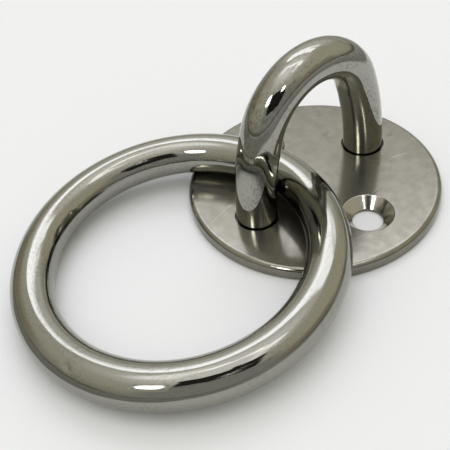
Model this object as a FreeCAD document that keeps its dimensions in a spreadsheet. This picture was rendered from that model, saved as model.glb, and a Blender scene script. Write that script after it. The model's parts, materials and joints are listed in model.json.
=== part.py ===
import FreeCAD, Part
import math
import os
import Sketcher

Vector = FreeCAD.Vector

# Driving sizes, in millimetres and degrees.
# The plate lies on the XY plane with its underside at z = 0 and its middle at the origin.
# The staple stands in the XZ plane, and the screw holes lie on the Y axis.
# The ring is threaded round the front leg, the one on the -X side.
SIZES = {
    "plate_diameter": 50.0,
    "plate_thickness": 2.5,
    "plate_top_round": 1.0,
    "plate_bottom_bevel": 0.2,
    "screw_pitch": 29.3,
    "screw_hole": 5.8,
    "countersink_diameter": 9.7,
    "countersink_angle": 90.0,
    "staple_rod": 8.0,
    "leg_spacing": 29.7,
    "leg_straight": 3.5,
    "side_bend_radius": 54.0,
    "top_bend_radius": 12.75,
    "leg_clearance": 0.35,
    "weld_depth": 1.2,
    "ring_rod": 8.0,
    "ring_inside": 46.0,
    "ring_turn": 1.7,
    "ring_leg_gap": 0.2,
    "ring_plate_gap": 0.15,
}


def write_sheet(doc):
    """Put every driving size in the sheet, one row each, under its own name."""
    sheet = doc.addObject("Spreadsheet::Sheet", "sizes")
    for row, (name, value) in enumerate(SIZES.items(), start=1):
        sheet.set(f"A{row}", name)
        sheet.set(f"B{row}", str(value))
        sheet.setAlias(f"B{row}", name)
    doc.recompute()
    return sheet


def origin_plane(body, role):
    """One of the body's own origin planes, such as XY_Plane."""
    return next(item for item in body.Origin.OriginFeatures if item.Role == role)


def new_sketch(body, name, role):
    """An empty sketch lying on one of the body's origin planes."""
    sketch = body.newObject("Sketcher::SketchObject", name)
    sketch.AttachmentSupport = [(origin_plane(body, role), "")]
    sketch.MapMode = "FlatFace"
    return sketch


def drive(sketch, constraint, name, expression):
    """Add a dimension to a sketch and tie it to the sheet."""
    index = sketch.addConstraint(constraint)
    sketch.renameConstraint(index, name)
    sketch.setExpression(f"Constraints.{name}", expression)


def circle(sketch, x, y, radius):
    """Draw a circle in a sketch and give its index."""
    edge = Part.Circle(Vector(x, y, 0), Vector(0, 0, 1), radius)
    return sketch.addGeometry(edge, False)


def place_pair(sketch, pair, spacing, direction, expression):
    """Set two equal circles at equal distances each side of the middle, on one axis."""
    across = {"DistanceX": -1, "DistanceY": -2}[direction]
    sketch.addConstraint(Sketcher.Constraint("Equal", pair[0], pair[1]))
    sketch.addConstraint(Sketcher.Constraint("Symmetric", pair[0], 3, pair[1], 3, -1, 1))
    sketch.addConstraint(Sketcher.Constraint("PointOnObject", pair[0], 3, across))
    drive(sketch, Sketcher.Constraint(direction, pair[0], 3, pair[1], 3, spacing),
          "spacing", expression)


def circle_edges(shape, height, radius):
    """Names of the round edges of one radius that lie flat at one height."""
    names = []
    for index, edge in enumerate(shape.Edges, start=1):
        if not isinstance(edge.Curve, Part.Circle):
            continue
        level = abs(edge.Curve.Center.z - height) < 1e-6
        if level and abs(edge.Curve.Radius - radius) < 1e-6:
            names.append(f"Edge{index}")
    return names


# Round plate
def make_plate(doc, sheet):
    """A disc with a rounded top edge, two countersunk screw holes and two bevelled leg holes."""
    body = doc.addObject("PartDesign::Body", "base_plate")
    half_plate = sheet.plate_diameter / 2

    outline = new_sketch(body, "plate_outline", "XY_Plane")
    rim = circle(outline, 0, 0, half_plate)
    outline.addConstraint(Sketcher.Constraint("Coincident", rim, 3, -1, 1))
    drive(outline, Sketcher.Constraint("Diameter", rim, sheet.plate_diameter),
          "rim", "sizes.plate_diameter")
    disc = body.newObject("PartDesign::Pad", "disc")
    disc.Profile = outline
    disc.setExpression("Length", "sizes.plate_thickness")
    doc.recompute()

    top_round = body.newObject("PartDesign::Fillet", "top_round")
    top_round.Base = (disc, circle_edges(disc.Shape, sheet.plate_thickness, half_plate))
    top_round.setExpression("Radius", "sizes.plate_top_round")
    doc.recompute()

    bottom_bevel = body.newObject("PartDesign::Chamfer", "bottom_bevel")
    bottom_bevel.Base = (top_round, circle_edges(top_round.Shape, 0, half_plate))
    bottom_bevel.setExpression("Size", "sizes.plate_bottom_bevel")

    screw_places = new_sketch(body, "screw_places", "XY_Plane")
    screw_places.setExpression("AttachmentOffset.Base.z", "sizes.plate_thickness")
    pair = [circle(screw_places, 0, side * sheet.screw_pitch / 2, sheet.screw_hole / 2)
            for side in (-1, 1)]
    place_pair(screw_places, pair, sheet.screw_pitch, "DistanceY", "sizes.screw_pitch")
    drive(screw_places, Sketcher.Constraint("Diameter", pair[0], sheet.screw_hole),
          "bore", "sizes.screw_hole")
    doc.recompute()

    screw_holes = body.newObject("PartDesign::Hole", "screw_holes")
    screw_holes.Profile = screw_places
    doc.recompute()
    screw_holes.DepthType = "ThroughAll"
    screw_holes.HoleCutType = "Countersink"
    screw_holes.HoleCutCustomValues = True
    screw_holes.setExpression("Diameter", "sizes.screw_hole")
    screw_holes.setExpression("HoleCutDiameter", "sizes.countersink_diameter")
    screw_holes.setExpression("HoleCutCountersinkAngle", "sizes.countersink_angle")
    doc.recompute()

    leg_places = new_sketch(body, "leg_places", "XY_Plane")
    leg_hole = sheet.staple_rod + 2 * sheet.leg_clearance
    pair = [circle(leg_places, side * sheet.leg_spacing / 2, 0, leg_hole / 2)
            for side in (-1, 1)]
    place_pair(leg_places, pair, sheet.leg_spacing, "DistanceX", "sizes.leg_spacing")
    drive(leg_places, Sketcher.Constraint("Diameter", pair[0], leg_hole),
          "bore", "sizes.staple_rod + 2 * sizes.leg_clearance")
    leg_holes = body.newObject("PartDesign::Pocket", "leg_holes")
    leg_holes.Profile = leg_places
    leg_holes.Type = "ThroughAll"
    leg_holes.Reversed = True
    doc.recompute()

    weld_bevel = body.newObject("PartDesign::Chamfer", "weld_bevel")
    weld_bevel.Base = (leg_holes, circle_edges(leg_holes.Shape, 0, leg_hole / 2))
    weld_bevel.setExpression("Size", "sizes.weld_depth")
    body.Tip = weld_bevel
    return body


# Staple
def bend_layout(sheet):
    """Heights and angle of the tangent arcs of the staple's centreline."""
    half = sheet.leg_spacing / 2
    side = sheet.side_bend_radius
    top = sheet.top_bend_radius
    rise = math.sqrt((side - top) ** 2 - (side - half) ** 2)
    angle = math.atan2(rise, side - half)
    return half, side, top, sheet.leg_straight, sheet.leg_straight + rise, angle


def make_staple(doc, sheet):
    """A round rod swept along two straight legs, two long side arcs and a tighter top arc."""
    body = doc.addObject("PartDesign::Body", "staple")
    half, side, top, straight, crown, angle = bend_layout(sheet)

    path = new_sketch(body, "staple_path", "XZ_Plane")
    up = Vector(0, 0, 1)
    front_leg = path.addGeometry(
        Part.LineSegment(Vector(-half, 0, 0), Vector(-half, straight, 0)), False)
    front_arc = path.addGeometry(Part.ArcOfCircle(
        Part.Circle(Vector(side - half, straight, 0), up, side), math.pi - angle, math.pi), False)
    top_arc = path.addGeometry(Part.ArcOfCircle(
        Part.Circle(Vector(0, crown, 0), up, top), angle, math.pi - angle), False)
    rear_arc = path.addGeometry(Part.ArcOfCircle(
        Part.Circle(Vector(half - side, straight, 0), up, side), 0, angle), False)
    rear_leg = path.addGeometry(
        Part.LineSegment(Vector(half, straight, 0), Vector(half, 0, 0)), False)

    path.addConstraint(Sketcher.Constraint("PointOnObject", front_leg, 1, -1))
    for leg in (front_leg, rear_leg):
        path.addConstraint(Sketcher.Constraint("Vertical", leg))
    joins = ((front_leg, 2, front_arc, 2), (front_arc, 1, top_arc, 2),
             (top_arc, 1, rear_arc, 2), (rear_arc, 1, rear_leg, 1))
    for join in joins:
        path.addConstraint(Sketcher.Constraint("Tangent", *join))
    path.addConstraint(Sketcher.Constraint("Symmetric", front_leg, 1, rear_leg, 2, -2))
    path.addConstraint(Sketcher.Constraint("Equal", front_arc, rear_arc))
    path.addConstraint(Sketcher.Constraint("Equal", front_leg, rear_leg))
    drive(path, Sketcher.Constraint("DistanceX", front_leg, 1, rear_leg, 2, 2 * half),
          "spacing", "sizes.leg_spacing")
    drive(path, Sketcher.Constraint("DistanceY", front_leg, 1, front_leg, 2, straight),
          "straight", "sizes.leg_straight")
    drive(path, Sketcher.Constraint("Radius", front_arc, side),
          "side_bend", "sizes.side_bend_radius")
    drive(path, Sketcher.Constraint("Radius", top_arc, top),
          "top_bend", "sizes.top_bend_radius")

    section = new_sketch(body, "staple_section", "XY_Plane")
    rod = circle(section, -half, 0, sheet.staple_rod / 2)
    section.addConstraint(Sketcher.Constraint("PointOnObject", rod, 3, -1))
    drive(section, Sketcher.Constraint("DistanceX", rod, 3, -1, 1, half),
          "place", "sizes.leg_spacing / 2")
    drive(section, Sketcher.Constraint("Diameter", rod, sheet.staple_rod),
          "rod", "sizes.staple_rod")
    doc.recompute()

    bar = body.newObject("PartDesign::AdditivePipe", "bent_rod")
    bar.Profile = section
    bar.Spine = (path, [f"Edge{index}" for index in range(1, len(path.Shape.Edges) + 1)])
    body.Tip = bar
    return body


# Welds under the plate
def make_weld(doc, sheet, name, side):
    """Weld metal, ground flush, that fills the bevel between one leg and the plate."""
    body = doc.addObject("PartDesign::Body", name)
    rod = sheet.staple_rod / 2
    hole = rod + sheet.leg_clearance
    depth = sheet.weld_depth

    section = new_sketch(body, f"{name}_section", "XZ_Plane")
    corners = [Vector(rod, 0, 0), Vector(hole + depth, 0, 0), Vector(hole, depth, 0),
               Vector(rod, depth, 0)]
    lines = [section.addGeometry(Part.LineSegment(corners[n], corners[(n + 1) % 4]), False)
             for n in range(4)]
    for n in range(4):
        section.addConstraint(Sketcher.Constraint("Coincident", lines[n], 2, lines[(n + 1) % 4], 1))
    foot, slope, shoulder, inner = lines
    section.addConstraint(Sketcher.Constraint("PointOnObject", foot, 1, -1))
    section.addConstraint(Sketcher.Constraint("Horizontal", foot))
    section.addConstraint(Sketcher.Constraint("Horizontal", shoulder))
    section.addConstraint(Sketcher.Constraint("Vertical", inner))
    drive(section, Sketcher.Constraint("DistanceX", -1, 1, foot, 1, rod),
          "leg_face", "sizes.staple_rod / 2")
    drive(section, Sketcher.Constraint("DistanceX", foot, 1, foot, 2, sheet.leg_clearance + depth),
          "foot", "sizes.leg_clearance + sizes.weld_depth")
    drive(section, Sketcher.Constraint("DistanceY", slope, 1, slope, 2, depth),
          "depth", "sizes.weld_depth")
    drive(section, Sketcher.Constraint("DistanceX", shoulder, 2, shoulder, 1, sheet.leg_clearance),
          "shoulder", "sizes.leg_clearance")

    metal = body.newObject("PartDesign::Revolution", f"{name}_metal")
    metal.Profile = section
    metal.ReferenceAxis = (section, ["V_Axis"])
    metal.Angle = 360
    body.Tip = metal
    body.setExpression("Placement.Base.x", f"{side} * sizes.leg_spacing / 2")
    return body


# Ring
def leg_lean(sheet, height):
    """How far the bent leg has moved inwards from its foot at one height."""
    above = max(0.0, height - sheet.leg_straight)
    side = sheet.side_bend_radius
    return side - math.sqrt(side ** 2 - above ** 2)


def ring_rest(sheet, tilt):
    """Centre and axis of the ring when its far side lies on the deck at one tilt, in radians.

    The ring reaches away from the front leg, and its near side stands off the leg's inner face
    by the named gap.
    """
    rod = sheet.ring_rod / 2
    reach = (sheet.ring_inside + sheet.ring_rod) / 2
    turn = math.radians(sheet.ring_turn)
    away = Vector(-math.cos(turn), math.sin(turn), 0)
    drop = reach * math.sin(tilt)
    leg = Vector(leg_lean(sheet, rod + 2 * drop) - sheet.leg_spacing / 2, 0, 0)
    past_leg = sheet.staple_rod / 2 + sheet.ring_leg_gap + rod
    centre = leg + away * (reach * math.cos(tilt) - past_leg) + Vector(0, 0, rod + drop)
    axis = away * math.sin(tilt) + Vector(0, 0, math.cos(tilt))
    return centre, axis


def plate_gap(sheet, tilt):
    """Gap between the ring and the plate's rounded edge at one tilt, in radians."""
    centre, axis = ring_rest(sheet, tilt)
    ring_line = Part.Circle(centre, axis, (sheet.ring_inside + sheet.ring_rod) / 2)
    edge_round = sheet.plate_top_round
    edge_line = Part.Circle(Vector(0, 0, sheet.plate_thickness - edge_round), Vector(0, 0, 1),
                            sheet.plate_diameter / 2 - edge_round)
    between = ring_line.toShape().distToShape(edge_line.toShape())[0]
    return between - sheet.ring_rod / 2 - edge_round


def resting_tilt(sheet):
    """The tilt, in radians, at which the ring lies over the plate's edge with the named gap."""
    low, high = 0.0, math.radians(20)
    for _ in range(40):
        middle = (low + high) / 2
        if plate_gap(sheet, middle) < sheet.ring_plate_gap:
            low = middle
        else:
            high = middle
    return high


def make_ring(doc, sheet):
    """A round rod turned full circle, tipped over the plate's edge and threaded on the leg."""
    body = doc.addObject("PartDesign::Body", "ring")
    reach = (sheet.ring_inside + sheet.ring_rod) / 2

    section = new_sketch(body, "ring_section", "XZ_Plane")
    rod = circle(section, reach, 0, sheet.ring_rod / 2)
    section.addConstraint(Sketcher.Constraint("PointOnObject", rod, 3, -1))
    drive(section, Sketcher.Constraint("DistanceX", -1, 1, rod, 3, reach),
          "reach", "(sizes.ring_inside + sizes.ring_rod) / 2")
    drive(section, Sketcher.Constraint("Diameter", rod, sheet.ring_rod),
          "rod", "sizes.ring_rod")

    hoop = body.newObject("PartDesign::Revolution", "hoop")
    hoop.Profile = section
    hoop.ReferenceAxis = (section, ["V_Axis"])
    hoop.Angle = 360
    body.Tip = hoop

    tilt = resting_tilt(sheet)
    centre, axis = ring_rest(sheet, tilt)
    body.Placement = FreeCAD.Placement(centre, FreeCAD.Rotation(Vector(0, 0, 1), axis))

    away = Vector(axis.x, axis.y, 0).normalize()
    in_eye = centre - (away * math.cos(tilt) - Vector(0, 0, math.sin(tilt))) * reach
    swing = Vector(-away.y, away.x, 0)
    print(f"ring tilt {math.degrees(tilt):.3f} deg, centre {tuple(centre)}")
    print(f"swing axis through {tuple(in_eye)} along {tuple(swing)}")
    return body


def check(doc, bodies):
    """Stop if any feature failed or any piece is not one sound solid."""
    failed = [item.Name for item in doc.Objects
              if "Invalid" in item.State or "Error" in item.State]
    if failed:
        raise RuntimeError(f"failed features: {failed}")
    for body in bodies:
        shape = body.Shape
        if shape.isNull() or not shape.isValid() or len(shape.Solids) != 1:
            raise RuntimeError(f"{body.Label} is not one sound solid")
        box = shape.optimalBoundingBox()
        print(f"{body.Label}: volume {shape.Volume:.1f} mm3, "
              f"x {box.XMin:.2f} to {box.XMax:.2f}, y {box.YMin:.2f} to {box.YMax:.2f}, "
              f"z {box.ZMin:.2f} to {box.ZMax:.2f}")


def main():
    doc = FreeCAD.newDocument("ring_on_plate")
    sheet = write_sheet(doc)
    bodies = [make_plate(doc, sheet), make_staple(doc, sheet)]
    for name, side in (("front_weld", -1), ("rear_weld", 1)):
        bodies.append(make_weld(doc, sheet, name, side))
    bodies.append(make_ring(doc, sheet))
    doc.recompute()
    check(doc, bodies)
    os.makedirs("parts", exist_ok=True)
    for body in bodies:
        body.Shape.exportStep(f"parts/{body.Label}.step")


main()
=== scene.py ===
# %% [markdown]
# # A ring on a plate, in polished stainless steel
#
# A deck fitting of five pieces: a round plate, a bent bar (the staple) that stands in two holes
# of it, the weld metal that holds each leg from below, and a loose ring of the same bar.
# Nearly all of its look is reflection: a polished bar has hardly any colour of its own and shows
# the room, bent into streaks. So three things carry this scene: meshes that are truly smooth,
# finishes whose roughness and ripples have the right size, and a room worth reflecting.
#
# The first cell loads the measured model. Its pieces are in metres, in one shared frame.

# %% Load the measured model
import json
import math
import bmesh
import bpy
from mathutils import Euler, Matrix, Vector


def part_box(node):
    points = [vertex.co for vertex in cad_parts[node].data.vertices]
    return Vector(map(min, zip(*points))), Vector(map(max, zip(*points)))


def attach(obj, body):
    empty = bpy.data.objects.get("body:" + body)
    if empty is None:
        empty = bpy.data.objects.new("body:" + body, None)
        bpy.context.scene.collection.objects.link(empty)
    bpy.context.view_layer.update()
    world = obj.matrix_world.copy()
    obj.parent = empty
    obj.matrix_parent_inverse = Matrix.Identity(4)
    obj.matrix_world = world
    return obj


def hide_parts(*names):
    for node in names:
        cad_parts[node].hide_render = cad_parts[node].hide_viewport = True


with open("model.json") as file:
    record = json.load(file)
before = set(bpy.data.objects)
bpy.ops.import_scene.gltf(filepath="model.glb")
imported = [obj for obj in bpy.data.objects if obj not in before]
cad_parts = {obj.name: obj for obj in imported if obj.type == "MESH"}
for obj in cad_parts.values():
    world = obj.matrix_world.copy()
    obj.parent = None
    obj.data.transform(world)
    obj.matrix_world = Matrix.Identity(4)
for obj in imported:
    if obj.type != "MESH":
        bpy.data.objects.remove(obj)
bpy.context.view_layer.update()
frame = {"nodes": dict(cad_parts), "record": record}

MM = 0.001
MOUNTS = {mount["name"]: mount for mount in frame["record"]["mounts"]}
print("nodes:", sorted(frame["nodes"]))

# %% [markdown]
# ## Two helpers
#
# A node tree written in code gets long, so one small function adds a node, sets its options and
# fills its inputs, with a plain value or with a link when the value is another node's output.
# Colours are written as sRGB hex, as a colour picker shows them. Blender calculates in linear
# light, so one function turns a hex value into linear numbers.

# %% Helpers for nodes and colours
def add(tree, kind, inputs=None, **settings):
    """Add a node to a tree. Inputs are given by name or number, as values or as outputs."""
    node = tree.nodes.new(kind)
    for name, value in settings.items():
        setattr(node, name, value)
    for key, value in (inputs or {}).items():
        if isinstance(value, bpy.types.NodeSocket):
            tree.links.new(value, node.inputs[key])
        else:
            node.inputs[key].default_value = value
    return node


def linear(hex_colour):
    """Linear RGBA of an sRGB hex colour such as #8c8a84."""
    parts = [int(hex_colour[at:at + 2], 16) / 255 for at in (1, 3, 5)]
    light = [part / 12.92 if part <= 0.04045 else ((part + 0.055) / 1.055) ** 2.4 for part in parts]
    return (*light, 1.0)


print("polished steel in linear light:", [round(part, 3) for part in linear("#9c9c94")[:3]])

# %% [markdown]
# ## The bar: one node tree for the staple and the ring
#
# Both pieces are 8 mm round bar, one bent to a U and one to a circle. A bar that follows a path
# is the plainest use of Geometry Nodes: the path is a curve, a small circle is swept along it,
# and the result is a mesh. Modelling each by hand would give the same form, but then every
# change of size would be made twice.
#
# Hand polishing never leaves a true cylinder: the surface rolls by some hundredths of a
# millimetre, and that is what makes the streaks of light in it wander. The tree pushes each
# point in by a little noise, never out, because polishing only takes metal away. A knock
# does the same in one place, so the tree can also press one small dent.
#
# A pattern on a bent bar needs two coordinates: how far along the bar, and how far round it.
# Both run in circles, so a plain number would jump where the circle closes. The tree stores each
# as a point on a circle instead, and four-dimensional noise reads the two points with no seam.

# %% The node tree for a bent bar
def bar_tree():
    """A Geometry Nodes group that sweeps a round bar along the object's own curve."""
    tree = bpy.data.node_groups.new("bent_bar", "GeometryNodeTree")
    face = tree.interface
    face.new_socket("Path", in_out="INPUT", socket_type="NodeSocketGeometry")
    for name, kind in (("Bar Radius", "NodeSocketFloat"), ("Points Round", "NodeSocketInt"),
                       ("Polish Depth", "NodeSocketFloat"), ("Polish Length", "NodeSocketFloat"),
                       ("Seed", "NodeSocketFloat"), ("Dent Place", "NodeSocketVector"),
                       ("Dent Size", "NodeSocketVector"), ("Dent Depth", "NodeSocketFloat"),
                       ("Finish", "NodeSocketMaterial")):
        face.new_socket(name, in_out="INPUT", socket_type=kind)
    face.new_socket("Bar", in_out="OUTPUT", socket_type="NodeSocketGeometry")
    given = add(tree, "NodeGroupInput").outputs
    result = add(tree, "NodeGroupOutput")

    # Store how far along the path each point is, as a place on a circle of the path's length.
    spot = add(tree, "GeometryNodeSplineParameter")
    length = add(tree, "GeometryNodeSplineLength")
    turn = add(tree, "ShaderNodeMath", {0: spot.outputs["Factor"], 1: math.tau}, operation="MULTIPLY")
    size = add(tree, "ShaderNodeMath", {0: length.outputs["Length"], 1: math.tau}, operation="DIVIDE")
    cosine = add(tree, "ShaderNodeMath", {0: turn.outputs[0]}, operation="COSINE")
    sine = add(tree, "ShaderNodeMath", {0: turn.outputs[0]}, operation="SINE")
    on_circle = add(tree, "ShaderNodeCombineXYZ", {"X": cosine.outputs[0], "Y": sine.outputs[0]})
    along = add(tree, "ShaderNodeVectorMath", {0: on_circle.outputs[0], "Scale": size.outputs[0]},
                operation="SCALE")
    path = add(tree, "GeometryNodeStoreNamedAttribute",
               {"Geometry": given["Path"], "Name": "along_bar", "Value": along.outputs[0]},
               data_type="FLOAT_VECTOR")

    # Sweep a circle along the path. Its own points say how far round the bar they are.
    profile = add(tree, "GeometryNodeCurvePrimitiveCircle",
                  {"Resolution": given["Points Round"], "Radius": given["Bar Radius"]})
    here = add(tree, "GeometryNodeInputPosition")
    rim = add(tree, "GeometryNodeStoreNamedAttribute",
              {"Geometry": profile.outputs["Curve"], "Name": "round_bar", "Value": here.outputs[0]},
              data_type="FLOAT_VECTOR")
    swept = add(tree, "GeometryNodeCurveToMesh",
                {"Curve": path.outputs[0], "Profile Curve": rim.outputs[0], "Fill Caps": True})

    # The polisher's waves, from noise over the two stored places.
    parts = []
    for name in ("along_bar", "round_bar"):
        stored = add(tree, "GeometryNodeInputNamedAttribute", {"Name": name},
                     data_type="FLOAT_VECTOR")
        parts.append(add(tree, "ShaderNodeSeparateXYZ", {0: stored.outputs["Attribute"]}).outputs)
    far, near = parts
    place = add(tree, "ShaderNodeCombineXYZ", {"X": far["X"], "Y": far["Y"], "Z": near["X"]})
    scale = add(tree, "ShaderNodeMath", {0: 1.0, 1: given["Polish Length"]}, operation="DIVIDE")
    fourth = add(tree, "ShaderNodeMath", {0: near["Y"], 1: given["Seed"]}, operation="ADD")
    waves = add(tree, "ShaderNodeTexNoise",
                {"Vector": place.outputs[0], "W": fourth.outputs[0], "Scale": scale.outputs[0],
                 "Detail": 1.0}, noise_dimensions="4D")
    inwards = add(tree, "ShaderNodeMath", {0: waves.outputs[0], 1: 1.0}, operation="SUBTRACT")
    rolled = add(tree, "ShaderNodeMath", {0: inwards.outputs[0], 1: given["Polish Depth"]},
                 operation="MULTIPLY")

    # The dent, a smooth hollow with its own size along each axis.
    away = add(tree, "ShaderNodeVectorMath", {0: here.outputs[0], 1: given["Dent Place"]},
               operation="SUBTRACT")
    sized = add(tree, "ShaderNodeVectorMath", {0: away.outputs[0], 1: given["Dent Size"]},
                operation="DIVIDE")
    reach = add(tree, "ShaderNodeVectorMath", {0: sized.outputs[0]}, operation="LENGTH")
    hollow = add(tree, "ShaderNodeMapRange",
                 {"Value": reach.outputs["Value"], "From Min": 0.0, "From Max": 1.0,
                  "To Min": 1.0, "To Max": 0.0}, interpolation_type="SMOOTHSTEP")
    dented = add(tree, "ShaderNodeMath", {0: hollow.outputs[0], 1: given["Dent Depth"]},
                 operation="MULTIPLY")
    depth = add(tree, "ShaderNodeMath", {0: rolled.outputs[0], 1: dented.outputs[0]},
                operation="SUBTRACT")

    normal = add(tree, "GeometryNodeInputNormal")
    push = add(tree, "ShaderNodeVectorMath", {0: normal.outputs[0], "Scale": depth.outputs[0]},
               operation="SCALE")
    polished = add(tree, "GeometryNodeSetPosition",
                   {"Geometry": swept.outputs[0], "Offset": push.outputs[0]})
    real = add(tree, "GeometryNodeRealizeInstances", {0: polished.outputs[0]})
    finished = add(tree, "GeometryNodeSetMaterial",
                   {"Geometry": real.outputs[0], "Material": given["Finish"]})
    tree.links.new(finished.outputs[0], result.inputs["Bar"])
    return tree


BAR_TREE = bar_tree()
print("bar tree:", len(BAR_TREE.nodes), "nodes")

# %% [markdown]
# ## Paths for the two bars
#
# The ring's path is a circle. The staple's path is what a bending former leaves: a short straight
# leg, a long gentle arc, a tight arc over the top, and the same again down the other side, each
# arc tangent to the next. A path is drawn as a curve of close points, worked out from the radii,
# so a bend can be changed by one number. The ring lies where the model has it: the record gives
# its middle and the line it stands square to.

# %% Sizes of the bars, in millimetres
BAR_DIAMETER = 8.0
RING_INSIDE = 46.0
LEG_SPACING = 29.7
LEG_STRAIGHT = 3.5
SIDE_BEND_RADIUS = 54.0
TOP_BEND_RADIUS = 12.75
POINT_SPACING = 0.28
POINTS_ROUND = 96


def arc_points(centre, radius, start, end):
    """Points along an arc in the XZ plane, from one angle to another, without the last."""
    count = max(2, round(radius * abs(end - start) / POINT_SPACING))
    angles = [start + (end - start) * step / count for step in range(count)]
    return [Vector((centre[0] + radius * math.cos(angle), 0, centre[1] + radius * math.sin(angle)))
            for angle in angles]


def line_points(start, end):
    """Points along a straight line, without the last."""
    count = max(2, round((end - start).length / POINT_SPACING))
    return [start.lerp(end, step / count) for step in range(count)]


def staple_points():
    """The staple's centreline from one foot, over the top, to the other."""
    half = LEG_SPACING / 2
    offset = SIDE_BEND_RADIUS - half
    crown = math.sqrt((SIDE_BEND_RADIUS - TOP_BEND_RADIUS) ** 2 - offset ** 2)
    lean = math.atan2(crown, offset)
    knee = LEG_STRAIGHT + crown
    foot, bend = Vector((-half, 0, 0)), Vector((-half, 0, LEG_STRAIGHT))
    rise = line_points(foot, bend)
    rise += arc_points((offset, LEG_STRAIGHT), SIDE_BEND_RADIUS, math.pi, math.pi - lean)
    over = arc_points((0, knee), TOP_BEND_RADIUS, math.pi - lean, lean)
    fall = arc_points((-offset, LEG_STRAIGHT), SIDE_BEND_RADIUS, lean, 0)
    fall += line_points(Vector((half, 0, LEG_STRAIGHT)), Vector((half, 0, 0)))
    return rise + over + fall + [Vector((half, 0, 0))]


def ring_points():
    """The ring's centreline, a circle that lies where the model has the ring."""
    middle = Vector(MOUNTS["tie_ring"]["pos_m"]) / MM
    lie = Vector(MOUNTS["tie_ring"]["axis"]).to_track_quat("Z", "Y").to_matrix()
    radius = (RING_INSIDE + BAR_DIAMETER) / 2
    count = round(math.tau * radius / POINT_SPACING)
    angles = [math.tau * step / count for step in range(count)]
    return [middle + lie @ Vector((radius * math.cos(angle), radius * math.sin(angle), 0))
            for angle in angles]


print("points:", len(staple_points()), "on the staple,", len(ring_points()), "on the ring")

# %% [markdown]
# ## Finish of the bars: polished 316 stainless steel
#
# The real bar is drawn, bent and then polished on a cloth wheel. That leaves a near mirror, with
# faint lines along the bar from drawing and a slight orange-peel ripple from the wheel. A metal
# has no diffuse colour: its base colour is the tint and strength of its reflection, here a
# slightly warm mid grey. Roughness sets how soft a reflection's edge is. Some use by the sea has
# left a breath of brown tarnish, in specks that gather in patches: a second tint, mixed in by
# a fine noise times a coarse one.
#
# The ripples are bump, with real sizes: a few thousandths to hundredths of a millimetre deep.
# What matters to the eye is the slope, so each ripple is given by its width across the bar, its
# length along it and its depth. The staple's tight bend left it a long soft swell. The ring, bent
# to a wide circle, kept its drawing lines instead. A ripple 0.005 mm deep and 1.2 mm wide tilts
# the surface by up to half a degree, which moves a reflection by twice that and frays its edge.

# %% A new metal, and noise on the bars' own coordinates
def new_metal(name, base_hex):
    """A material with a metal shader, its tree and the shader node."""
    metal = bpy.data.materials.new(name)
    metal.use_nodes = True
    tree = metal.node_tree
    shader = tree.nodes["Principled BSDF"]
    shader.inputs["Base Color"].default_value = linear(base_hex)
    shader.inputs["Metallic"].default_value = 1.0
    return metal, tree, shader


def bar_noise(tree, across, along, detail=0.0):
    """Noise on a bent bar whose grains have a size across and along it, in millimetres."""
    parts = []
    for name, size in (("along_bar", along), ("round_bar", across)):
        stored = add(tree, "ShaderNodeAttribute", attribute_name=name)
        sized = add(tree, "ShaderNodeVectorMath",
                    {0: stored.outputs["Vector"], "Scale": 1 / (size * MM)}, operation="SCALE")
        parts.append(add(tree, "ShaderNodeSeparateXYZ", {0: sized.outputs[0]}).outputs)
    far, near = parts
    place = add(tree, "ShaderNodeCombineXYZ", {"X": far["X"], "Y": far["Y"], "Z": near["X"]})
    grain = add(tree, "ShaderNodeTexNoise",
                {"Vector": place.outputs[0], "W": near["Y"], "Scale": 1.0, "Detail": detail},
                noise_dimensions="4D")
    return grain.outputs[0]


# %% Polished bar
def polished_bar(name, base_hex, tarnish_hex, roughness, ripples):
    """Polished stainless bar. Each ripple has a size across and along the bar, and a depth."""
    metal, tree, shader = new_metal(name, base_hex)

    # Tarnish: fine specks, at full strength in some patches and at a quarter elsewhere.
    patches = bar_noise(tree, across=3.5, along=7.0, detail=2.0)
    specks = bar_noise(tree, across=0.35, along=0.6, detail=3.0)
    patches = add(tree, "ShaderNodeMapRange",
                  {"Value": patches, "From Min": 0.42, "From Max": 0.68}).outputs[0]
    specks = add(tree, "ShaderNodeMapRange",
                 {"Value": specks, "From Min": 0.46, "From Max": 0.66}).outputs[0]
    amount = add(tree, "ShaderNodeMapRange",
                 {"Value": patches, "To Min": 0.25, "To Max": 1.0}).outputs[0]
    tarnish = add(tree, "ShaderNodeMath", {0: specks, 1: amount}, operation="MULTIPLY").outputs[0]
    tint = add(tree, "ShaderNodeMix",
               {"Factor": tarnish, 6: linear(base_hex), 7: linear(tarnish_hex)}, data_type="RGBA")
    tree.links.new(tint.outputs[2], shader.inputs["Base Color"])

    # Roughness: a mirror with a faint haze where the wheel passed less.
    haze = bar_noise(tree, across=3.0, along=9.0, detail=3.0)
    rough = add(tree, "ShaderNodeMapRange", {"Value": haze, "From Min": 0.35, "From Max": 0.65,
                                             "To Min": roughness[0], "To Max": roughness[1]})
    tree.links.new(rough.outputs[0], shader.inputs["Roughness"])

    # Relief: one bump on top of the other, each with its own grain.
    tilt = {}
    for across, along, depth in ripples:
        height = bar_noise(tree, across, along, detail=1.0)
        tilted = add(tree, "ShaderNodeBump", {"Height": height, "Distance": depth * MM, **tilt})
        tilt = {"Normal": tilted.outputs["Normal"]}
    tree.links.new(tilt["Normal"], shader.inputs["Normal"])
    return metal


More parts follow.
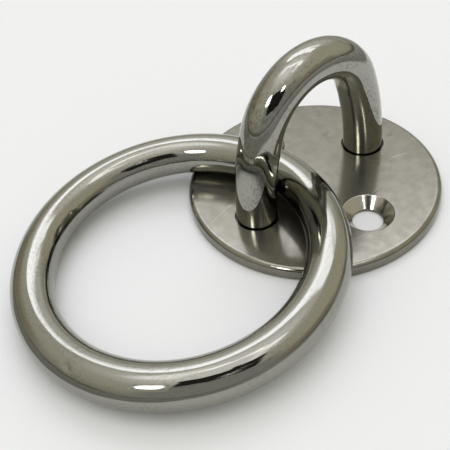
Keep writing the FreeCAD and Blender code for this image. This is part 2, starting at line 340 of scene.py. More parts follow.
# Ripples, as size across and along the bar and depth, in millimetres: a swell or a drawing line,
# the wheel's orange peel, its finest ripple, and the hairlines along the bar.
STAPLE_RIPPLES = ((4.5, 9.0, 0.060), (1.1, 3.0, 0.010), (0.3, 0.6, 0.0035), (0.3, 9.0, 0.004))
RING_RIPPLES = ((1.0, 26.0, 0.030), (1.2, 1.8, 0.005), (0.3, 0.5, 0.002), (0.22, 7.0, 0.007))
STAPLE_STEEL = polished_bar("polished_stainless_bar", "#9c9c94", "#79756a", (0.03, 0.07),
                            STAPLE_RIPPLES)
RING_STEEL = polished_bar("polished_stainless_ring", "#97978f", "#8a877e", (0.05, 0.09),
                          RING_RIPPLES)
print("bar finishes:", STAPLE_STEEL.name, "and", RING_STEEL.name)

# %% [markdown]
# ## From path to mesh
#
# The tree runs as a modifier on the path. Its inputs are set by the socket's identifier before
# the object is first evaluated. The result is read from the evaluated object as a plain mesh and
# the path goes, so that what is posed and exported is an ordinary mesh. The ring gets one small
# dent on its outer side, where it was knocked.

# %% Bend a bar
def shade_by_angle(mesh, degrees):
    """Smooth shading that stays crisp at edges sharper than an angle."""
    mesh.polygons.foreach_set("use_smooth", [True] * len(mesh.polygons))
    mesh.set_sharp_from_angle(angle=math.radians(degrees))
    mesh.update()


def bend_bar(name, points, closed, finish, polish, seed, dent=((0, 0, 0), (1, 1, 1), 0)):
    """Sweep the bar along a path. Polish is a depth and a length, a dent a place, size and depth."""
    path = bpy.data.curves.new(f"{name}_path", "CURVE")
    path.dimensions = "3D"
    spline = path.splines.new("POLY")
    spline.points.add(len(points) - 1)
    spline.use_cyclic_u = closed
    for target, point in zip(spline.points, points):
        target.co = (*(point * MM), 1)
    holder = bpy.data.objects.new(f"{name}_path", path)
    bpy.context.scene.collection.objects.link(holder)
    modifier = holder.modifiers.new("bar", "NODES")
    modifier.node_group = BAR_TREE
    given = {"Bar Radius": BAR_DIAMETER / 2 * MM, "Points Round": POINTS_ROUND,
             "Polish Depth": polish[0] * MM, "Polish Length": polish[1] * MM, "Seed": seed * MM,
             "Dent Place": Vector(dent[0]) * MM, "Dent Size": Vector(dent[1]) * MM,
             "Dent Depth": dent[2] * MM, "Finish": finish}
    for item in BAR_TREE.interface.items_tree:
        if item.name in given:
            modifier[item.identifier] = given[item.name]
    graph = bpy.context.evaluated_depsgraph_get()
    mesh = bpy.data.meshes.new_from_object(holder.evaluated_get(graph), depsgraph=graph)
    bpy.data.objects.remove(holder)
    mesh.name = name
    shade_by_angle(mesh, 40)
    bar = bpy.data.objects.new(name, mesh)
    bpy.context.scene.collection.objects.link(bar)
    return bar


# %% Bend the staple and the ring
RING_DENT = ((-61.7, -7.2, 7.3), (0.9, 1.5, 0.9), 0.20)
staple = bend_bar("bent_staple", staple_points(), False, STAPLE_STEEL, polish=(0.04, 8.0),
                  seed=11.0)
ring = bend_bar("round_ring", ring_points(), True, RING_STEEL, polish=(0.05, 11.0), seed=47.0,
                dent=RING_DENT)
for piece, node in ((staple, "staple"), (ring, "ring")):
    low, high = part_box(node)
    print(piece.name, "has", len(piece.data.polygons), "faces and spans",
          [round(side / MM, 2) for side in piece.dimensions], "mm; the model spans",
          [round(side / MM, 2) for side in high - low])

# %% [markdown]
# ## The plate
#
# The plate is punched from 2.5 mm sheet, so its top edge is rounded and its lower edge has a
# small burr bevel. A turned outline gives the edge in one go: the half section is spun round the
# middle. The holes are cut with turned cutters, the screw holes with their countersinks. A real
# countersink is never knife sharp where it meets the face: the edge is broken by a tenth of a
# millimetre, and that break is what catches the light as a thin bright line.
#
# Smooth shading blends normals across every soft edge, also between the rim's round and the big
# flat face beside it, and one blended corner then tilts the reflection over half the face. So
# the flat faces are shaded flat: they keep one true normal each.

# %% Turned shapes
PLATE_TOP_ROUND = 1.0
PLATE_BOTTOM_BEVEL = 0.2
COUNTERSINK_DIAMETER = 9.7
EDGE_BREAK = 0.10
LEG_CLEARANCE = 0.35
WELD_DEPTH = 1.2
OVERRUN = 1.0


def turned(name, outline, steps):
    """Spin an outline of (radius, height) points, in millimetres, into a closed solid."""
    shape = bmesh.new()
    previous = None
    for radius, height in outline:
        if radius == 0:
            loop = [shape.verts.new((0, 0, height * MM))]
        else:
            loop = [shape.verts.new((radius * MM * math.cos(math.tau * step / steps),
                                     radius * MM * math.sin(math.tau * step / steps), height * MM))
                    for step in range(steps)]
        if previous is not None:
            for step in range(steps):
                after = (step + 1) % steps
                corners = [previous[step % len(previous)], previous[after % len(previous)],
                           loop[after % len(loop)], loop[step % len(loop)]]
                unique = list(dict.fromkeys(corners))
                if len(unique) > 2:
                    shape.faces.new(unique)
        previous = loop
    bmesh.ops.recalc_face_normals(shape, faces=shape.faces)
    mesh = bpy.data.meshes.new(name)
    shape.to_mesh(mesh)
    shape.free()
    piece = bpy.data.objects.new(name, mesh)
    bpy.context.scene.collection.objects.link(piece)
    return piece


def round_points(centre, radius, start, end, count=10):
    """Points of an outline along a round, both ends included, angles in degrees."""
    angles = [math.radians(start + (end - start) * step / count) for step in range(count + 1)]
    return [(centre[0] + radius * math.cos(angle), centre[1] + radius * math.sin(angle))
            for angle in angles]


# %% The plate's disc and its cutters
plate_low, plate_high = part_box("base_plate")
PLATE_RADIUS = (plate_high.x - plate_low.x) / 2 / MM
PLATE_THICKNESS = (plate_high.z - plate_low.z) / MM
hole_sizes = MOUNTS["screw_holes"]["dims"]
SCREW_RADIUS, SCREW_PLACE = hole_sizes["hole_r_mm"], hole_sizes["spacing_y_mm"] / 2
LEG_PLACE = LEG_SPACING / 2
FLAT_RADIUS = PLATE_RADIUS - PLATE_TOP_ROUND
print("plate:", round(PLATE_RADIUS * 2, 3), "mm across,", round(PLATE_THICKNESS, 3), "mm thick")

plate_outline = [(0, 0), (PLATE_RADIUS - PLATE_BOTTOM_BEVEL, 0),
                 (PLATE_RADIUS, PLATE_BOTTOM_BEVEL)]
plate_outline += round_points((FLAT_RADIUS, PLATE_THICKNESS - PLATE_TOP_ROUND),
                              PLATE_TOP_ROUND, 0, 90, count=16)
plate_outline += [(0, PLATE_THICKNESS)]
plate = turned("round_plate", plate_outline, steps=256)

sink_radius = COUNTERSINK_DIAMETER / 2
sink_depth = sink_radius - SCREW_RADIUS
above = PLATE_THICKNESS + OVERRUN
screw_outline = [(0, -OVERRUN), (SCREW_RADIUS, -OVERRUN),
                 (SCREW_RADIUS, PLATE_THICKNESS - sink_depth),
                 (sink_radius - EDGE_BREAK / 2, PLATE_THICKNESS - EDGE_BREAK / 2),
                 (sink_radius + EDGE_BREAK, PLATE_THICKNESS), (sink_radius + EDGE_BREAK, above),
                 (0, above)]
leg_hole_radius = BAR_DIAMETER / 2 + LEG_CLEARANCE
leg_outline = [(0, -OVERRUN), (leg_hole_radius + WELD_DEPTH + OVERRUN, -OVERRUN),
               (leg_hole_radius, WELD_DEPTH), (leg_hole_radius, above), (0, above)]
cutters = []
for name, outline, place in (("screw_hole", screw_outline, Vector((0, SCREW_PLACE, 0))),
                             ("leg_hole", leg_outline, Vector((LEG_PLACE, 0, 0)))):
    for side in (-1, 1):
        cutter = turned(name, outline, steps=128)
        cutter.data.transform(Matrix.Translation(side * place * MM))
        cutters.append(cutter)
print("cutters:", [cutter.name for cutter in cutters])

# %% Cut the holes
for cutter in cutters:
    cut = plate.modifiers.new(cutter.name, "BOOLEAN")
    cut.object = cutter
    cut.operation = "DIFFERENCE"
    cut.solver = "EXACT"
graph = bpy.context.evaluated_depsgraph_get()
drilled = bpy.data.meshes.new_from_object(plate.evaluated_get(graph), depsgraph=graph)
plate.modifiers.clear()
plate.data = drilled
for cutter in cutters:
    bpy.data.objects.remove(cutter)
shade_by_angle(plate.data, 25)
for face in plate.data.polygons:
    if abs(face.normal.z) > 0.999:
        face.use_smooth = False
print("plate mesh:", len(plate.data.polygons), "faces")

# %% [markdown]
# ## Finish of the plate: stainless sheet, linished and tumbled
#
# The sheet was rubbed down and tumbled in a barrel, which leaves a satin with fine lines that run
# any way. Close things, such as the foot of a leg, still show in it clearly, and far things blur,
# because a satin spreads each reflection by an angle. Tumbling also leaves pits of a twentieth of
# a millimetre. They are too fine to be seen one by one, but each sends light any way, and together
# they lay a dull veil over the mirror image. The face rolls off a little near the rim, and the rim
# rubs against everything, so it is brighter and smoother, with lines that run round it. A few
# scratches, and dull smudges where it was handled, sit where the real ones do. A fresh scratch
# shows bare metal, which is lighter than the sheet.
#
# Each mask is a small group of nodes that works in millimetres on the plate: hairlines that run
# one way, one straight scratch between two places, and one soft oval smudge.

# %% Marks on the plate
def hairlines(tree, place, turn, length, width):
    """A 0 to 1 pattern of fine lines that run one way, with their size in millimetres."""
    turned_place = add(tree, "ShaderNodeMapping",
                       {"Vector": place, "Rotation": (0, 0, math.radians(turn)),
                        "Scale": (1 / length, 1 / width, 1 / length)})
    grain = add(tree, "ShaderNodeTexNoise",
                {"Vector": turned_place.outputs[0], "Scale": 1.0, "Detail": 1.0})
    return grain.outputs[0]


def scratch(tree, place, start, end, width):
    """A 0 to 1 mask of one straight scratch between two places on the plate's top."""
    start, end = Vector((*start, PLATE_THICKNESS)), Vector((*end, PLATE_THICKNESS))
    way = (end - start).normalized()
    away = add(tree, "ShaderNodeVectorMath", {0: place, 1: start}, operation="SUBTRACT").outputs[0]
    run = add(tree, "ShaderNodeVectorMath", {0: away, 1: way}, operation="DOT_PRODUCT")
    run = add(tree, "ShaderNodeClamp",
              {"Value": run.outputs["Value"], "Min": 0.0, "Max": (end - start).length}).outputs[0]
    foot = add(tree, "ShaderNodeVectorMath", {0: way, "Scale": run}, operation="SCALE").outputs[0]
    gap = add(tree, "ShaderNodeVectorMath", {0: away, 1: foot}, operation="DISTANCE")
    return add(tree, "ShaderNodeMapRange",
               {"Value": gap.outputs["Value"], "From Min": 0.0, "From Max": width,
                "To Min": 1.0, "To Max": 0.0}).outputs[0]


def smudge(tree, place, centre, size):
    """A 0 to 1 mask of one soft oval on the plate's top."""
    oval = add(tree, "ShaderNodeMapping", {"Vector": place, "Location": (*centre, PLATE_THICKNESS),
                                           "Scale": (*size, 1.0)}, vector_type="TEXTURE")
    reach = add(tree, "ShaderNodeVectorMath", {0: oval.outputs[0]}, operation="LENGTH")
    return add(tree, "ShaderNodeMapRange",
               {"Value": reach.outputs["Value"], "From Min": 0.2, "From Max": 1.0,
                "To Min": 1.0, "To Max": 0.0}, interpolation_type="SMOOTHSTEP").outputs[0]


# Scratches as two ends and a width, smudges as a middle and a size, in millimetres on the plate.
SCRATCHES = (((15.5, -7.6), (18.3, -8.8), 0.10), ((-22.8, 4.7), (-16.1, 5.8), 0.08),
             ((-20.2, 4.4), (-17.0, 4.9), 0.05), ((-23.1, -2.9), (-21.9, -3.4), 0.09),
             ((12.6, 4.2), (20.2, 1.4), 0.06))
SMUDGES = (((16.4, 13.2), (1.6, 0.8)), ((11.8, 7.7), (1.2, 0.7)), ((20.4, -2.4), (1.5, 0.7)),
           ((-9.0, -13.0), (2.4, 1.4)))
# Sizes of the sheet's patterns and depths of its relief, in millimetres. A strength is a share.
CLOUD_SIZE = 1.6
CLOUD_STRENGTH = 0.45
SMUDGE_STRENGTH = 0.5
PIT_SIZE = 0.05
MOTTLE_SIZE = 1.1
MOTTLE_DEPTH = 0.010
LINE_DEPTH = 0.006
RIM_LINE_SIZE = 0.16
RIM_LINE_DEPTH = 0.003
ROLL_DEPTH = 0.05
# Where the roll-off and the rim's finish start and end, from the edge of the flat face.
ROLL_BAND = (-2.4, 0.6)
RIM_BAND = (-0.3, 0.2)
SCRATCH_DEPTH = 0.010
# Hairlines: the turn in degrees, then length and width in millimetres.
HAIRLINES = ((18, 9.0, 0.22), (71, 7.0, 0.18), (128, 8.0, 0.20))
PIT_ROUGHNESS = 0.5
RIM_ROUGHNESS = 0.035
BARE_METAL = "#a8a69b"


# %% Satin sheet
def satin_sheet(name, base_hex, dull_hex, roughness, marked):
    """Satin stainless sheet, with a fine mottle, lines any way, and marks on the real plate."""
    metal, tree, shader = new_metal(name, base_hex)
    spot = add(tree, "ShaderNodeTexCoord")
    place = add(tree, "ShaderNodeVectorMath", {0: spot.outputs["Object"], "Scale": 1 / MM},
                operation="SCALE").outputs[0]

    # Dullness: fine clouds, and the smudges.
    cloud = add(tree, "ShaderNodeTexNoise",
                {"Vector": place, "Scale": 1 / CLOUD_SIZE, "Detail": 4.0}).outputs[0]
    dull = add(tree, "ShaderNodeMapRange", {"Value": cloud, "From Min": 0.34, "From Max": 0.66,
                                            "To Min": 0.0, "To Max": CLOUD_STRENGTH}).outputs[0]
    for centre, size in (SMUDGES if marked else ()):
        mark = smudge(tree, place, centre, size)
        mark = add(tree, "ShaderNodeMath", {0: mark, 1: SMUDGE_STRENGTH},
                   operation="MULTIPLY").outputs[0]
        dull = add(tree, "ShaderNodeMath", {0: dull, 1: mark}, operation="ADD").outputs[0]
    tint = add(tree, "ShaderNodeMix", {"Factor": dull, 6: linear(base_hex), 7: linear(dull_hex)},
               data_type="RGBA").outputs[2]

    # Roughness: satin on the flat, dull in the pits, worn bright on the rim.
    rough = add(tree, "ShaderNodeMapRange",
                {"Value": dull, "From Min": 0.0, "From Max": 1.0,
                 "To Min": roughness[0], "To Max": roughness[1]}).outputs[0]
    pits = add(tree, "ShaderNodeTexNoise",
               {"Vector": place, "Scale": 1 / PIT_SIZE, "Detail": 0.0}).outputs[0]
    pits = add(tree, "ShaderNodeMapRange",
               {"Value": pits, "From Min": 0.52, "From Max": 0.58}).outputs[0]
    rough = add(tree, "ShaderNodeMix", {"Factor": pits, 2: rough, 3: PIT_ROUGHNESS},
                data_type="FLOAT").outputs[0]
    flat = add(tree, "ShaderNodeVectorMath", {0: place, 1: (1.0, 1.0, 0.0)},
               operation="MULTIPLY").outputs[0]
    radius = add(tree, "ShaderNodeVectorMath", {0: flat}, operation="LENGTH").outputs["Value"]
    rim = add(tree, "ShaderNodeMapRange",
              {"Value": radius, "From Min": FLAT_RADIUS + RIM_BAND[0],
               "From Max": FLAT_RADIUS + RIM_BAND[1]}).outputs[0]
    rough = add(tree, "ShaderNodeMix", {"Factor": rim, 2: rough, 3: RIM_ROUGHNESS},
                data_type="FLOAT").outputs[0]
    tree.links.new(rough, shader.inputs["Roughness"])

    # Relief: the face rolls off near the rim, then a fine mottle, lines any way, and lines round
    # the rim.
    roll = add(tree, "ShaderNodeMapRange",
               {"Value": radius, "From Min": FLAT_RADIUS + ROLL_BAND[0],
                "From Max": FLAT_RADIUS + ROLL_BAND[1], "To Min": 1.0, "To Max": 0.0},
               interpolation_type="SMOOTHSTEP").outputs[0]
    tilt = add(tree, "ShaderNodeBump",
               {"Height": roll, "Distance": ROLL_DEPTH * MM}).outputs["Normal"]
    mottle = add(tree, "ShaderNodeTexNoise",
                 {"Vector": place, "Scale": 1 / MOTTLE_SIZE, "Detail": 4.0}).outputs[0]
    tilt = add(tree, "ShaderNodeBump", {"Height": mottle, "Distance": MOTTLE_DEPTH * MM,
                                        "Normal": tilt}).outputs["Normal"]
    for turn, length, width in HAIRLINES:
        lines = hairlines(tree, place, turn, length, width)
        tilt = add(tree, "ShaderNodeBump", {"Height": lines, "Distance": LINE_DEPTH * MM,
                                            "Normal": tilt}).outputs["Normal"]
    height = add(tree, "ShaderNodeSeparateXYZ", {0: place}).outputs["Z"]
    section = add(tree, "ShaderNodeCombineXYZ", {"X": radius, "Y": height})
    rounds = add(tree, "ShaderNodeTexNoise",
                 {"Vector": section.outputs[0], "Scale": 1 / RIM_LINE_SIZE, "Detail": 1.0})
    rounds = add(tree, "ShaderNodeMath", {0: rounds.outputs[0], 1: rim},
                 operation="MULTIPLY").outputs[0]
    tilt = add(tree, "ShaderNodeBump", {"Height": rounds, "Distance": RIM_LINE_DEPTH * MM,
                                        "Normal": tilt}).outputs["Normal"]

    # Scratches: each is a groove, and all of them together show bare metal.
    fresh = 0.0
    for start, end, width in (SCRATCHES if marked else ()):
        cut = scratch(tree, place, start, end, width)
        fresh = add(tree, "ShaderNodeMath", {0: fresh, 1: cut}, operation="MAXIMUM").outputs[0]
        tilt = add(tree, "ShaderNodeBump",
                   {"Height": cut, "Distance": SCRATCH_DEPTH * MM, "Normal": tilt},
                   invert=True).outputs["Normal"]
    tree.links.new(tilt, shader.inputs["Normal"])
    tint = add(tree, "ShaderNodeMix", {"Factor": fresh, 6: tint, 7: linear(BARE_METAL)},
               data_type="RGBA")
    tree.links.new(tint.outputs[2], shader.inputs["Base Color"])
    return metal


PLATE_STEEL = satin_sheet("satin_stainless_sheet", "#8a887e", "#706e66", (0.12, 0.18), marked=True)
print("plate finish:", PLATE_STEEL.name, "with", len(SCRATCHES), "scratches and",
      len(SMUDGES), "smudges")

# %% [markdown]
# ## Finish of the countersinks: turned steel
#
# A countersink is cut by a turning tool after the sheet was finished, so it is brighter than the
# face and has very fine rings round the hole. Both holes lie on the Y axis at the same distance
# from the middle, so the size of y, without its sign, serves both with one pattern. The tool's
# rings are drawn 0.12 mm apart, a little coarser than a real feed, so that they show. The cone's
# faces are found by their slope: no other face of the plate leans like that so near a hole.

# %% Turned countersinks
TOOL_STEP = 0.12
TOOL_DEPTH = 0.006


def turned_steel(name, base_hex, roughness):
    """Bright turned steel, with fine rings round each screw hole."""
    metal, tree, shader = new_metal(name, base_hex)
    shader.inputs["Roughness"].default_value = roughness
    spot = add(tree, "ShaderNodeTexCoord")
    place = add(tree, "ShaderNodeVectorMath", {0: spot.outputs["Object"], "Scale": 1 / MM},
                operation="SCALE")
    mirrored = add(tree, "ShaderNodeVectorMath", {0: place.outputs[0]}, operation="ABSOLUTE")
    centred = add(tree, "ShaderNodeVectorMath",
                  {0: mirrored.outputs[0], 1: (0.0, SCREW_PLACE, 0.0)}, operation="SUBTRACT")
    flat = add(tree, "ShaderNodeVectorMath", {0: centred.outputs[0], 1: (1.0, 1.0, 0.0)},
               operation="MULTIPLY")
    radius = add(tree, "ShaderNodeVectorMath", {0: flat.outputs[0]}, operation="LENGTH")
    rings = add(tree, "ShaderNodeTexNoise",
                {"W": radius.outputs["Value"], "Scale": 1 / TOOL_STEP, "Detail": 2.0},
                noise_dimensions="1D")
    tilt = add(tree, "ShaderNodeBump",
               {"Height": rings.outputs[0], "Distance": TOOL_DEPTH * MM}).outputs["Normal"]
    tree.links.new(tilt, shader.inputs["Normal"])
    return metal


SINK_STEEL = turned_steel("turned_stainless", "#a2a198", roughness=0.15)
plate.data.materials.clear()
plate.data.materials.append(PLATE_STEEL)
plate.data.materials.append(SINK_STEEL)
for face in plate.data.polygons:
    from_hole = math.hypot(face.center.x / MM, abs(face.center.y / MM) - SCREW_PLACE)
    if from_hole < sink_radius + EDGE_BREAK and 0.3 < face.normal.z < 0.95:
        face.material_index = 1
print("turned faces:", sum(face.material_index for face in plate.data.polygons))

# %% [markdown]
# ## The welds
#
# The legs are welded from below, in a bevel round each hole, and ground flush with the underside
# so that the plate lies flat. The measured model already has that metal as two plain rings, so
# they stay and only get a finish: the same satin as the sheet, a little greyer and rougher.

# %% Ground weld metal
WELD_STEEL = satin_sheet("ground_weld_metal", "#8b8982", "#7c7973", (0.26, 0.36), marked=False)
for node in ("front_weld", "rear_weld"):
    for material_slot in frame["nodes"][node].material_slots:
        material_slot.material = WELD_STEEL
    print(node, "is finished in", WELD_STEEL.name)

# %% [markdown]
# ## The floor
#
# The fitting lies on a sheet of pale paper. Polished metal shows the whole floor, up to the
# horizon, so what lies beyond the view matters as well. The floor's colour is one round gradient
# of painted light and shade: a painted pool of light round the fitting, a painted shadow ring just
# beyond it, and a lighter grey farther out where the painted light has fallen off, which gives the
# bars their darker lower sides. The floor lies a hair below the plate's underside, so the two never
# share a face.

# %% Floor
FLOOR_HALF = 3.0
FLOOR_DROP = 0.02 * MM
PAINTED_POOL_MIDDLE = Vector((-5.0, 40.0, 0.0))
PAINTED_POOL_RADIUS = 106.0
PAINTED_SHADOW_SPREAD = 1.15
PAINTED_FALLOFF_RADIUS = 300.0
corners = [(x * FLOOR_HALF, y * FLOOR_HALF, -FLOOR_DROP)
           for x, y in ((-1, -1), (1, -1), (1, 1), (-1, 1))]
floor_mesh = bpy.data.meshes.new("floor")
floor_mesh.from_pydata(corners, [], [(0, 1, 2, 3)])
floor = bpy.data.objects.new("floor", floor_mesh)
bpy.context.scene.collection.objects.link(floor)

paper = bpy.data.materials.new("paper_with_painted_light_and_shade")
paper.use_nodes = True
tree = paper.node_tree
shader = tree.nodes["Principled BSDF"]
shader.inputs["Roughness"].default_value = 0.9
shader.inputs["Specular IOR Level"].default_value = 0.0
spot = add(tree, "ShaderNodeTexCoord")
away = add(tree, "ShaderNodeVectorMath", {0: spot.outputs["Object"], 1: PAINTED_POOL_MIDDLE * MM},
           operation="DISTANCE")
share = add(tree, "ShaderNodeMath", {0: away.outputs["Value"], 1: PAINTED_FALLOFF_RADIUS * MM},
            operation="DIVIDE")
fade = add(tree, "ShaderNodeValToRGB", {0: share.outputs[0]})
# Painted light and shade on the floor: a pool of light, then a shadow ring, then a dimmer grey.
stops = ((PAINTED_POOL_RADIUS / PAINTED_FALLOFF_RADIUS, "#f2f5fa"),
         (PAINTED_POOL_RADIUS * PAINTED_SHADOW_SPREAD / PAINTED_FALLOFF_RADIUS, "#a5a6a7"), (1.0, "#bdbdbd"))
fade.color_ramp.elements.new(0.5)
for element, (position, colour) in zip(fade.color_ramp.elements, stops):
    element.position = position
    element.color = linear(colour)
tree.links.new(fade.outputs[0], shader.inputs["Base Color"])
floor.data.materials.append(paper)
print("floor:", 2 * FLOOR_HALF, "m square, paper", 2 * PAINTED_POOL_RADIUS, "mm across")

# %% [markdown]
# ## The room
#
# The room is drawn in the world's nodes and not built. Its walls are a gradient from a dim floor
# line to a bright ceiling, and each lamp, wall or dark corner is one soft-edged rectangle, placed
# by its azimuth and elevation in degrees. Azimuth 0 looks along -Y, and 90 along +X. A rectangle
# is a mask made by turning the view ray into the rectangle's own frame, where its slopes run from
# minus to plus its half size. Later rectangles cover earlier ones, so the long lamp is three that
# join, and a darker skirting runs round it all, just above the horizon. Lamps would light the
# metal in the same way, but a painted room is also what the metal shows, with no grain in the
# render. ROOM_LEVEL sets the whole room's light, so that the pale paper stays below pure white.

# %% Room
def patch(tree, ray, azimuth, elevation, width, height, edge):
    """A soft-edged rectangle in the room, as a 0 to 1 mask. Angles are in degrees."""
    turn = (math.radians(90 - elevation), 0, math.radians(azimuth))
    local = add(tree, "ShaderNodeVectorRotate", {"Vector": ray, "Rotation": turn},
                rotation_type="EULER_XYZ", invert=True)
    split = add(tree, "ShaderNodeSeparateXYZ", {0: local.outputs[0]})
    mask = add(tree, "ShaderNodeMath", {0: split.outputs["Z"], 1: 0.0},
               operation="GREATER_THAN").outputs[0]
    for axis, angle in (("X", width), ("Y", height)):
        slope = add(tree, "ShaderNodeMath", {0: split.outputs[axis], 1: split.outputs["Z"]},
                    operation="DIVIDE")
        away = add(tree, "ShaderNodeMath", {0: slope.outputs[0]}, operation="ABSOLUTE")
        inner = math.tan(math.radians((angle - edge) / 2))
        outer = math.tan(math.radians((angle + edge) / 2))
        inside = add(tree, "ShaderNodeMapRange",
                     {"Value": away.outputs[0], "From Min": inner, "From Max": outer,
                      "To Min": 1.0, "To Max": 0.0}, interpolation_type="SMOOTHSTEP")
        mask = add(tree, "ShaderNodeMath", {0: mask, 1: inside.outputs[0]},
                   operation="MULTIPLY").outputs[0]
    return mask


# Elevations on the walls, in degrees, and the light there, as linear red, green and blue.
WALLS = ((0, (0.34, 0.33, 0.29)), (4, (0.50, 0.48, 0.40)), (15, (0.62, 0.60, 0.50)),
         (35, (0.82, 0.79, 0.66)), (53, (0.90, 0.87, 0.78)), (65, (1.25, 1.20, 1.13)),
         (75, (1.65, 1.60, 1.60)), (90, (1.72, 1.68, 1.70)))
# What it is, behind or in front of the fitting as the camera sees it: azimuth, elevation, width,
# height and soft edge in degrees, and its light.
THINGS = {
    "grey wall in front": (-30, 18, 72, 46, 14, (0.50, 0.50, 0.47)),
    "dim corner, left": (-160, 12, 50, 34, 24, (0.46, 0.43, 0.32)),
    "olive wall, right": (60, 32, 60, 44, 30, (0.84, 0.80, 0.62)),
    "brown cupboard, right": (28, 8, 46, 20, 14, (0.48, 0.44, 0.36)),
    "wall lit from above, behind": (134, 37, 50, 32, 24, (1.20, 1.18, 1.14)),
    "glow below the lamp": (132, 46, 40, 9, 7, (2.4, 2.4, 2.45)),
    "pale low wall, behind": (142, 4, 84, 16, 6, (0.78, 0.75, 0.66)),
    "long lamp behind, left end": (158, 49.5, 11, 8.5, 4, (2.8, 2.8, 3.0)),
    "long lamp behind, left half": (143, 52.7, 27, 12.4, 5, (3.3, 3.3, 3.6)),
    "long lamp behind, right half": (118.5, 55.7, 25, 10.9, 4, (3.0, 3.0, 3.2)),
    "ceiling lamp, right": (39, 72, 8, 11, 4, (3.0, 2.95, 3.1)),
    "ceiling lamp, near": (9, 70, 9, 7, 4, (2.2, 2.15, 2.2)),
    "ceiling tube": (130, 84.3, 38, 3, 1.5, (3.8, 3.75, 3.85)),
    "bright ceiling, behind": (-158, 75, 15, 12, 8, (2.5, 2.45, 2.5)),
}
ROOM_LEVEL = 0.88
# The ramp's colours are kept at 1 or less, as shares of this light.
BRIGHTEST = 2.0
# The skirting's top fades out between two rises of the view ray. It keeps this share of light.
SKIRTING_TOP = (0.05, 0.10)
SKIRTING_LIGHT = 0.6
world = bpy.data.worlds.new("studio")
bpy.context.scene.world = world
world.use_nodes = True
tree = world.node_tree
ray = add(tree, "ShaderNodeTexCoord").outputs["Generated"]
rise = add(tree, "ShaderNodeSeparateXYZ", {0: ray}).outputs["Z"]
walls = add(tree, "ShaderNodeValToRGB", {0: rise})
while len(walls.color_ramp.elements) < len(WALLS):
    walls.color_ramp.elements.new(0.5)
for element, (elevation, colour) in zip(walls.color_ramp.elements, WALLS):
    element.position = math.sin(math.radians(elevation))
    element.color = (*(part / BRIGHTEST for part in colour), 1)
light = add(tree, "ShaderNodeVectorMath", {0: walls.outputs[0], "Scale": BRIGHTEST},
            operation="SCALE").outputs[0]
for name, (azimuth, elevation, width, height, edge, colour) in THINGS.items():
    mask = patch(tree, ray, azimuth, elevation, width, height, edge)
    light = add(tree, "ShaderNodeMix", {"Factor": mask, 4: light, 5: colour}, data_type="VECTOR",
                label=name).outputs[1]
skirting = add(tree, "ShaderNodeMapRange",
               {"Value": rise, "From Min": SKIRTING_TOP[0], "From Max": SKIRTING_TOP[1],
                "To Min": SKIRTING_LIGHT, "To Max": 1.0}).outputs[0]
light = add(tree, "ShaderNodeVectorMath", {0: light, "Scale": skirting},
            operation="SCALE").outputs[0]
tree.links.new(light, tree.nodes["Background"].inputs["Color"])
tree.nodes["Background"].inputs["Strength"].default_value = ROOM_LEVEL
print("room:", len(THINGS), "things on the walls and ceiling")

# %% [markdown]
# ## The camera
#
# The camera stands where the photograph was taken from, so close to the fitting that what is
# near looks clearly larger than what is far. The photograph's frame isn't centred on the lens's
# axis, so the lens is shifted: that moves the frame and leaves the perspective as it is.

# %% Camera
CAMERA_PLACE = Vector((-80.498, -81.987, 104.508))
CAMERA_TURN = (48.6666, 7.1049, -39.0234)
FOCAL_PIXELS = 756.60
PICTURE_PIXELS = 450
CENTRE_OFFSET_PIXELS = (-30.0, -45.0)
camera = bpy.data.cameras.new("camera")
camera.sensor_width = 36.0
camera.lens = FOCAL_PIXELS / PICTURE_PIXELS * camera.sensor_width
camera.shift_x = -CENTRE_OFFSET_PIXELS[0] / PICTURE_PIXELS
camera.shift_y = CENTRE_OFFSET_PIXELS[1] / PICTURE_PIXELS
camera.clip_start = 0.01
eye = bpy.data.objects.new("camera", camera)
camera_turn = Euler([math.radians(angle) for angle in CAMERA_TURN])
CAMERA_STAND = Matrix.LocRotScale(CAMERA_PLACE * MM, camera_turn, None)
eye.matrix_world = CAMERA_STAND
bpy.context.scene.collection.objects.link(eye)
bpy.context.scene.camera = eye
bpy.context.scene.view_settings.view_transform = "Standard"
print("camera:", round(camera.lens, 2), "mm lens,", round(CAMERA_PLACE.length),
      "mm from the plate's middle")
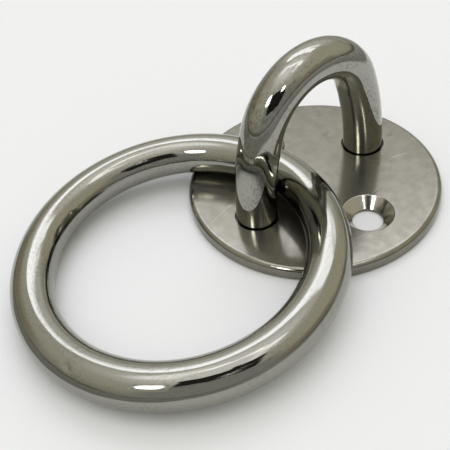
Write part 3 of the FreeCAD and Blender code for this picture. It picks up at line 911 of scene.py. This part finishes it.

# %% [markdown]
# ## Cards, two lamps and a flag
#
# Some things stand so near the fitting that the staple and the ring see them in different
# directions, so they can't be painted on a far wall. A black card round the lens is cut in two
# parts that leave one corner open. Through that corner the staple and the rear leg see a small
# lamp far behind the camera, and a shade in front of the lens keeps the lamp off the ring. A
# softbox, also far behind and on the left, glows like a window, brightest in its middle. A grey
# reflector lies low in front of the card; its faint glow is painted light, standing in for the
# light it bounces. A photographer of polished metal also lays a grey flag just outside the
# picture, so that the bars get a dark side. All are flat meshes that neither the camera nor the
# paper sees, and they cast no shadow.
#
# The softbox and lamp glow far brighter than white. In one reflection they only clip, but the
# foot of a leg shows them by way of the plate, and two dark reflections leave a tenth of them.

# %% Cards, softbox, small lamp and flag
def flat_card(name, stand, x_sides, y_sides, height, colour, glow, fade):
    """A flat card across a stand's Z axis. Its glow can fade over a share of each side."""
    corners = [stand @ (Vector((x, y, height)) * MM)
               for x, y in ((x_sides[0], y_sides[0]), (x_sides[1], y_sides[0]),
                            (x_sides[1], y_sides[1]), (x_sides[0], y_sides[1]))]
    mesh = bpy.data.meshes.new(name)
    mesh.from_pydata(corners, [], [(0, 1, 2, 3)])
    surface = bpy.data.materials.new(name)
    surface.use_nodes = True
    tree = surface.node_tree
    shader = tree.nodes["Principled BSDF"]
    shader.inputs["Base Color"].default_value = linear(colour)
    shader.inputs["Roughness"].default_value = 0.8
    shader.inputs["Emission Color"].default_value = linear("#ffffff")
    shader.inputs["Emission Strength"].default_value = glow
    if fade:
        # A new UV map on one four-sided face runs from 0 to 1 along each side.
        mesh.uv_layers.new(name="sides")
        spot = add(tree, "ShaderNodeTexCoord")
        split = add(tree, "ShaderNodeSeparateXYZ", {0: spot.outputs["UV"]})
        strength = glow
        for axis in ("X", "Y"):
            away = add(tree, "ShaderNodeMath", {0: split.outputs[axis], 1: 0.5},
                       operation="SUBTRACT")
            away = add(tree, "ShaderNodeMath", {0: away.outputs[0]}, operation="ABSOLUTE")
            inside = add(tree, "ShaderNodeMapRange",
                         {"Value": away.outputs[0], "From Min": 0.5 - fade, "From Max": 0.5,
                          "To Min": 1.0, "To Max": 0.0}, interpolation_type="SMOOTHSTEP")
            strength = add(tree, "ShaderNodeMath", {0: strength, 1: inside.outputs[0]},
                           operation="MULTIPLY").outputs[0]
        tree.links.new(strength, shader.inputs["Emission Strength"])
    mesh.materials.append(surface)
    card = bpy.data.objects.new(name, mesh)
    card.visible_camera = False
    card.visible_diffuse = False
    card.visible_shadow = False
    bpy.context.scene.collection.objects.link(card)
    return card


BLACK = "#2c2c2a"
WHITE = "#e0e0e0"
# Where each card lies on its stand: from and to on X, from and to on Y, the height on Z, all in
# millimetres; then its colour, glow and fade. On the camera's stand, +Z is behind the lens. The
# flag's stand is the fitting's own frame, so it lies flat.
CARDS = {
    "black_card": (CAMERA_STAND, (-41, 22), (-38, 36), 6, BLACK, 0.0, 0.0),
    "low_black_card": (CAMERA_STAND, (22, 60), (-38, 13), 6, BLACK, 0.0, 0.0),
    "softbox": (CAMERA_STAND, (-288, -158), (-30, 128), 300, BLACK, 22.0, 0.35),
    "small_lamp": (CAMERA_STAND, (30, 80), (41, 90), 300, WHITE, 20.0, 0.0),
    "lamp_shade": (CAMERA_STAND, (8, 38), (-1, 19), -38, BLACK, 0.0, 0.0),
    # The grey reflector's glow is painted light: a reflector is no lamp.
    "grey_reflector_painted_glow": (CAMERA_STAND, (-20, 36), (-36, -24), -60, "#7a7a78", 0.3, 0.0),
    "grey_flag": (Matrix(), (-420, -72), (-320, 320), 0.5, "#989896", 0.0, 0.0),
}
for name, card_values in CARDS.items():
    card = flat_card(name, *card_values)
    print(card.name, "measures", [round(side / MM) for side in card.dimensions], "mm")

# %% [markdown]
# ## Hand the pieces to the frame
#
# Each mesh takes the place of its solid in the measured model, which is hidden, and rides on the
# body that the solid rides on: the plate and the staple on one, the ring on its own.

# %% Replace and ride
for piece, node, body, slot in ((staple, "staple", "pad_eye", "polished_rod"),
                                (plate, "base_plate", "pad_eye", "plate_steel"),
                                (ring, "ring", "tie_ring", "polished_ring")):
    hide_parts(node)
    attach(piece, body)
    print(piece.name, "replaces", node, "and rides on", body)
